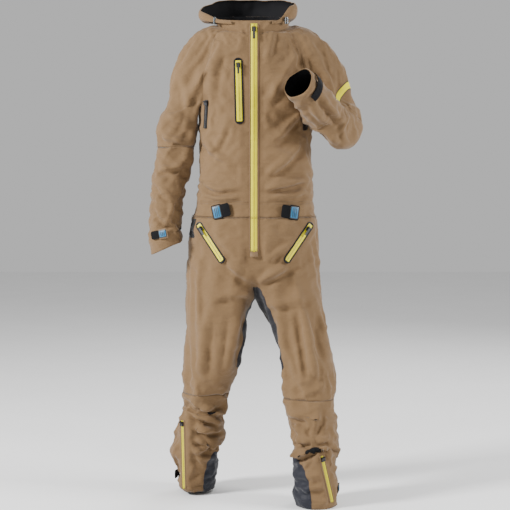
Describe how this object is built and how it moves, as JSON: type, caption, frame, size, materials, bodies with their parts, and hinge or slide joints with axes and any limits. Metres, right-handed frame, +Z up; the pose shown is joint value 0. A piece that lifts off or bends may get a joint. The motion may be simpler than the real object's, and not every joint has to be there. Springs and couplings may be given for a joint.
{
  "type": "hooded one-piece suit",
  "caption": "Hooded one-piece waterproof outdoor suit, filled out as worn, with front zip, zipped pockets, adjuster tabs and ankle guards.",
  "frame": {"origin": "centre of the neck opening, where the collar meets the yoke", "axes": "+Z up along the wearer's spine; the front faces -Y; the wearer's left is +X"},
  "size_m": [0.6289, 0.3829, 1.5342],
  "materials": {
    "shell_cloth": "matt woven waterproof cloth, tan",
    "stretch_cloth": "matt dark grey stretch cloth",
    "guard_cloth": "matt blue-black hard-wearing cloth",
    "lining": "matt black lining",
    "zip_tape": "satin yellow coil zip",
    "zip_surround": "satin black welded surround with a yellow coil zip",
    "slider_metal": "satin black",
    "puller_rubber": "satin black",
    "hard_plastic": "satin dark teal-grey",
    "tab_rubber": "satin black with a plain blue pad"
  },
  "bodies": {
    "front_slider": {"front_slider": "slider_metal"},
    "front_pull": {"front_pull": "puller_rubber"},
    "chest_slider": {"chest_slider": "slider_metal"},
    "chest_pull": {"chest_pull": "puller_rubber"},
    "hand_slider_right": {"hand_slider_right": "slider_metal"},
    "hand_pull_right": {"hand_pull_right": "puller_rubber"},
    "hand_slider_left": {"hand_slider_left": "slider_metal"},
    "hand_pull_left": {"hand_pull_left": "puller_rubber"},
    "pit_slider_right": {"pit_slider_right": "slider_metal"},
    "pit_slider_left": {"pit_slider_left": "slider_metal"},
    "leg_slider_right": {"leg_slider_right": "slider_metal"},
    "leg_slider_left": {"leg_slider_left": "slider_metal"},
    "waist_tab_right": {"waist_tab_right": "tab_rubber"},
    "waist_tab_left": {"waist_tab_left": "tab_rubber"},
    "cuff_tab_right": {"cuff_tab_right": "tab_rubber"},
    "cuff_tab_left": {"cuff_tab_left": "tab_rubber"},
    "ankle_tab_right": {"ankle_tab_right": "tab_rubber"},
    "ankle_tab_left": {"ankle_tab_left": "tab_rubber"},
    "cord_lock_right": {"cord_lock_right": "hard_plastic"},
    "cord_lock_left": {"cord_lock_left": "hard_plastic"},
    "suit": {"front_right": "shell_cloth", "front_left": "shell_cloth", "back": "shell_cloth", "side_right": "shell_cloth", "side_left": "shell_cloth", "shoulder_right": "shell_cloth", "shoulder_left": "shell_cloth", "waistband": "shell_cloth", "back_elastic": "stretch_cloth", "hip_right": "shell_cloth", "hip_left": "shell_cloth", "thigh_right": "shell_cloth", "thigh_left": "shell_cloth", "inner_panel_right": "stretch_cloth", "inner_panel_left": "stretch_cloth", "sleeve_right": "shell_cloth", "sleeve_left": "shell_cloth", "collar": "shell_cloth", "hang_loop": "lining", "placket": "shell_cloth", "front_zip": "zip_tape", "chest_zip": "zip_surround", "hand_zip_right": "zip_surround", "hand_zip_left": "zip_surround", "pit_zip_right": "zip_surround", "pit_zip_left": "zip_surround"},
    "hood": {"hood": "shell_cloth", "hood_lining": "lining"},
    "lower_leg_right": {"knee_right": "shell_cloth", "shin_right": "shell_cloth", "ankle_guard_right": "guard_cloth", "leg_zip_right": "zip_tape"},
    "forearm_right": {"elbow_right": "shell_cloth", "forearm_right": "shell_cloth"},
    "lower_leg_left": {"knee_left": "shell_cloth", "shin_left": "shell_cloth", "ankle_guard_left": "guard_cloth", "leg_zip_left": "zip_tape"},
    "forearm_left": {"elbow_left": "shell_cloth", "forearm_left": "shell_cloth"}
  },
  "joints": [
    {"name": "front_slider_slide", "type": "slide", "parent": "suit", "child": "front_slider", "axis": [0, -0.0672, -0.9977], "range_m": [0, 0.6495]},
    {"name": "front_pull_flip", "type": "hinge", "parent": "front_slider", "child": "front_pull", "pos_m": [0, -0.08866, -0.01131], "axis": [-1, 0, 0], "range_deg": [0, 150]},
    {"name": "chest_slider_slide", "type": "slide", "parent": "suit", "child": "chest_slider", "axis": [0.0235, -0.0704, -0.9972], "range_m": [0, 0.1525]},
    {"name": "chest_pull_flip", "type": "hinge", "parent": "chest_slider", "child": "chest_pull", "pos_m": [-0.0469, -0.09513, -0.1183], "axis": [-0.9997, 0, -0.0235], "range_deg": [0, 150]},
    {"name": "hand_slider_right_slide", "type": "slide", "parent": "suit", "child": "hand_slider_right", "axis": [0.5263, -0.3349, -0.7815], "range_m": [0, 0.1044]},
    {"name": "hand_pull_right_flip", "type": "hinge", "parent": "hand_slider_right", "child": "hand_pull_right", "pos_m": [-0.16429, -0.08136, -0.60556], "axis": [-0.7156, 0.322, -0.6199], "range_deg": [0, 150]},
    {"name": "hand_slider_left_slide", "type": "slide", "parent": "suit", "child": "hand_slider_left", "axis": [-0.5363, -0.3391, -0.7729], "range_m": [0, 0.1044]},
    {"name": "hand_pull_left_flip", "type": "hinge", "parent": "hand_slider_left", "child": "hand_pull_left", "pos_m": [0.16747, -0.08086, -0.60659], "axis": [-0.7076, -0.3184, 0.6307], "range_deg": [0, 150]},
    {"name": "pit_slider_right_slide", "type": "slide", "parent": "suit", "child": "pit_slider_right", "axis": [-0.0593, 0.0593, -0.9965], "range_m": [0, 0.0663]},
    {"name": "pit_slider_left_slide", "type": "slide", "parent": "suit", "child": "pit_slider_left", "axis": [0.0746, 0.0622, -0.9953], "range_m": [-0.0624, 0]},
    {"name": "leg_slider_right_slide", "type": "slide", "parent": "lower_leg_right", "child": "leg_slider_right", "axis": [0.014, 0.0746, -0.9971], "range_m": [0, 0.1966]},
    {"name": "leg_slider_left_slide", "type": "slide", "parent": "lower_leg_left", "child": "leg_slider_left", "axis": [0.2216, 0.1039, -0.9696], "range_m": [0, 0.1264]},
    {"name": "waist_tab_right_peel", "type": "hinge", "parent": "suit", "child": "waist_tab_right", "pos_m": [-0.124, -0.089, -0.562], "axis": [0.218, -0.0981, -0.971], "range_deg": [0, 130]},
    {"name": "waist_tab_left_peel", "type": "hinge", "parent": "suit", "child": "waist_tab_left", "pos_m": [0.134, -0.086, -0.562], "axis": [0.1253, 0.0564, 0.9905], "range_deg": [0, 130]},
    {"name": "cuff_tab_right_peel", "type": "hinge", "parent": "forearm_right", "child": "cuff_tab_right", "pos_m": [-0.258, -0.089, -0.62], "axis": [-0.1695, 0.0678, 0.9832], "range_deg": [0, 130]},
    {"name": "cuff_tab_left_peel", "type": "hinge", "parent": "forearm_left", "child": "cuff_tab_left", "pos_m": [0.19204, -0.1995, -0.205], "axis": [0.5421, 0.6875, -0.4832], "range_deg": [0, 130]},
    {"name": "ankle_tab_right_peel", "type": "hinge", "parent": "lower_leg_right", "child": "ankle_tab_right", "pos_m": [-0.246, 0.046, -1.382], "axis": [0.008, 0.0398, 0.9992], "range_deg": [0, 130]},
    {"name": "ankle_tab_left_peel", "type": "hinge", "parent": "lower_leg_left", "child": "ankle_tab_left", "pos_m": [0.25, -0.13, -1.384], "axis": [-0.0041, -0.041, -0.9991], "range_deg": [0, 130]},
    {"name": "elbow_right", "type": "hinge", "parent": "suit", "child": "forearm_right", "pos_m": [-0.24, 0.01, -0.37], "axis": [-1, 0, 0], "range_deg": [0, 45]},
    {"name": "elbow_left", "type": "hinge", "parent": "suit", "child": "forearm_left", "pos_m": [0.266, -0.008, -0.306], "axis": [0.8296, -0.5293, 0.1776], "range_deg": [0, 65]},
    {"name": "knee_right", "type": "hinge", "parent": "suit", "child": "lower_leg_right", "pos_m": [-0.147, 0.022, -1.09], "axis": [1, 0, 0], "range_deg": [0, 45]},
    {"name": "knee_left", "type": "hinge", "parent": "suit", "child": "lower_leg_left", "pos_m": [0.166, -0.073, -1.076], "axis": [1, 0, 0], "range_deg": [0, 45]},
    {"name": "hood_fold", "type": "hinge", "parent": "suit", "child": "hood", "pos_m": [-0.018, -0.008, 0.02], "axis": [1, 0, 0], "range_deg": [0, 70]},
    {"name": "cord_lock_right_slide", "type": "slide", "parent": "suit", "child": "cord_lock_right", "axis": [0, 0, -1], "range_m": [0, 0.008]},
    {"name": "cord_lock_left_slide", "type": "slide", "parent": "suit", "child": "cord_lock_left", "axis": [0, 0, -1], "range_m": [0, 0.008]}
  ]
}
